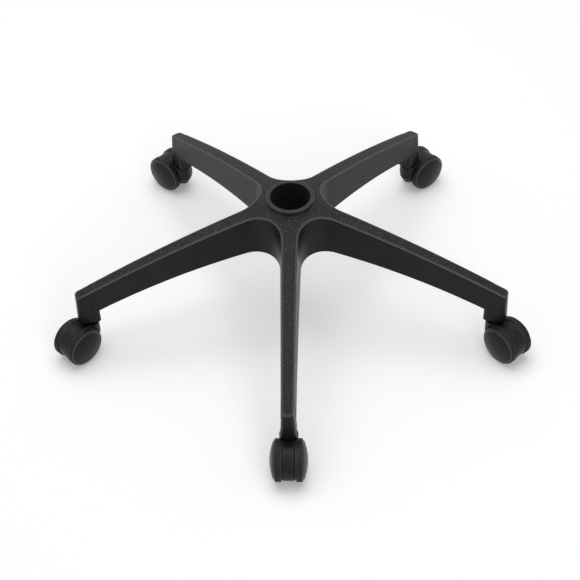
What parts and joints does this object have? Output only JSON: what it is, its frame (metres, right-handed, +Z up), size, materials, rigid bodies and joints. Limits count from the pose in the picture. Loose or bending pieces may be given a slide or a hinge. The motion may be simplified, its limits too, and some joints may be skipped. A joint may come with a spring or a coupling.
{
  "type": "office chair base",
  "caption": "Star base for a swivel chair: drafted nylon arms with ribbed undersides round a gas lift bore, each arm on a twin wheel swivel caster.",
  "frame": {"origin": "centre of the gas lift bore's mouth, at the top of the hub collar; the floor is 181.5 mm below", "axes": "+Z up along the gas lift bore, -Y along the front arm"},
  "size_m": [0.6058, 0.5836, 0.1815],
  "materials": {
    "star_nylon": "fine grained top, satin sides",
    "collar_steel": "black satin",
    "hood_nylon": "satin",
    "wheel_nylon": "satin",
    "plated_steel": "zinc plated"
  },
  "bodies": {
    "base": {"base_moulding": "star_nylon", "hub_collar": "collar_steel", "caster_front_stem": "plated_steel", "caster_front_grip_ring": "plated_steel", "caster_right_stem": "plated_steel", "caster_right_grip_ring": "plated_steel", "caster_back_right_stem": "plated_steel", "caster_back_right_grip_ring": "plated_steel", "caster_back_left_stem": "plated_steel", "caster_back_left_grip_ring": "plated_steel", "caster_left_stem": "plated_steel", "caster_left_grip_ring": "plated_steel"},
    "caster_front": {"caster_front_hood": "hood_nylon", "caster_front_axle": "plated_steel"},
    "caster_front_wheel_left": {"caster_front_wheel_left": "wheel_nylon"},
    "caster_front_wheel_right": {"caster_front_wheel_right": "wheel_nylon"},
    "caster_right": {"caster_right_hood": "hood_nylon", "caster_right_axle": "plated_steel"},
    "caster_right_wheel_left": {"caster_right_wheel_left": "wheel_nylon"},
    "caster_right_wheel_right": {"caster_right_wheel_right": "wheel_nylon"},
    "caster_back_right": {"caster_back_right_hood": "hood_nylon", "caster_back_right_axle": "plated_steel"},
    "caster_back_right_wheel_left": {"caster_back_right_wheel_left": "wheel_nylon"},
    "caster_back_right_wheel_right": {"caster_back_right_wheel_right": "wheel_nylon"},
    "caster_back_left": {"caster_back_left_hood": "hood_nylon", "caster_back_left_axle": "plated_steel"},
    "caster_back_left_wheel_left": {"caster_back_left_wheel_left": "wheel_nylon"},
    "caster_back_left_wheel_right": {"caster_back_left_wheel_right": "wheel_nylon"},
    "caster_left": {"caster_left_hood": "hood_nylon", "caster_left_axle": "plated_steel"},
    "caster_left_wheel_left": {"caster_left_wheel_left": "wheel_nylon"},
    "caster_left_wheel_right": {"caster_left_wheel_right": "wheel_nylon"}
  },
  "joints": [
    {"name": "caster_front_swivel", "type": "hinge", "parent": "base", "child": "caster_front", "pos_m": [0, -0.2705, -0.138], "axis": [0, 0, 1], "continuous": true},
    {"name": "caster_front_wheel_left_spin", "type": "hinge", "parent": "caster_front", "child": "caster_front_wheel_left", "pos_m": [0, -0.2945, -0.1555], "axis": [1, 0, 0], "continuous": true},
    {"name": "caster_front_wheel_right_spin", "type": "hinge", "parent": "caster_front", "child": "caster_front_wheel_right", "pos_m": [0, -0.2945, -0.1555], "axis": [1, 0, 0], "continuous": true},
    {"name": "caster_right_swivel", "type": "hinge", "parent": "base", "child": "caster_right", "pos_m": [0.25726, -0.08359, -0.138], "axis": [0, 0, 1], "continuous": true},
    {"name": "caster_right_wheel_left_spin", "type": "hinge", "parent": "caster_right", "child": "caster_right_wheel_left", "pos_m": [0.27332, -0.10143, -0.1555], "axis": [0.7431, 0.6691, 0], "continuous": true},
    {"name": "caster_right_wheel_right_spin", "type": "hinge", "parent": "caster_right", "child": "caster_right_wheel_right", "pos_m": [0.27332, -0.10143, -0.1555], "axis": [0.7431, 0.6691, 0], "continuous": true},
    {"name": "caster_back_right_swivel", "type": "hinge", "parent": "base", "child": "caster_back_right", "pos_m": [0.159, 0.21884, -0.138], "axis": [0, 0, 1], "continuous": true},
    {"name": "caster_back_right_wheel_left_spin", "type": "hinge", "parent": "caster_back_right", "child": "caster_back_right_wheel_left", "pos_m": [0.17765, 0.23394, -0.1555], "axis": [-0.6293, 0.7771, 0], "continuous": true},
    {"name": "caster_back_right_wheel_right_spin", "type": "hinge", "parent": "caster_back_right", "child": "caster_back_right_wheel_right", "pos_m": [0.17765, 0.23394, -0.1555], "axis": [-0.6293, 0.7771, 0], "continuous": true},
    {"name": "caster_back_left_swivel", "type": "hinge", "parent": "base", "child": "caster_back_left", "pos_m": [-0.159, 0.21884, -0.138], "axis": [0, 0, 1], "continuous": true},
    {"name": "caster_back_left_wheel_left_spin", "type": "hinge", "parent": "caster_back_left", "child": "caster_back_left_wheel_left", "pos_m": [-0.17765, 0.23394, -0.1555], "axis": [-0.6293, -0.7771, 0], "continuous": true},
    {"name": "caster_back_left_wheel_right_spin", "type": "hinge", "parent": "caster_back_left", "child": "caster_back_left_wheel_right", "pos_m": [-0.17765, 0.23394, -0.1555], "axis": [-0.6293, -0.7771, 0], "continuous": true},
    {"name": "caster_left_swivel", "type": "hinge", "parent": "base", "child": "caster_left", "pos_m": [-0.25726, -0.08359, -0.138], "axis": [0, 0, 1], "continuous": true},
    {"name": "caster_left_wheel_left_spin", "type": "hinge", "parent": "caster_left", "child": "caster_left_wheel_left", "pos_m": [-0.27332, -0.10143, -0.1555], "axis": [0.7431, -0.6691, 0], "continuous": true},
    {"name": "caster_left_wheel_right_spin", "type": "hinge", "parent": "caster_left", "child": "caster_left_wheel_right", "pos_m": [-0.27332, -0.10143, -0.1555], "axis": [0.7431, -0.6691, 0], "continuous": true}
  ]
}
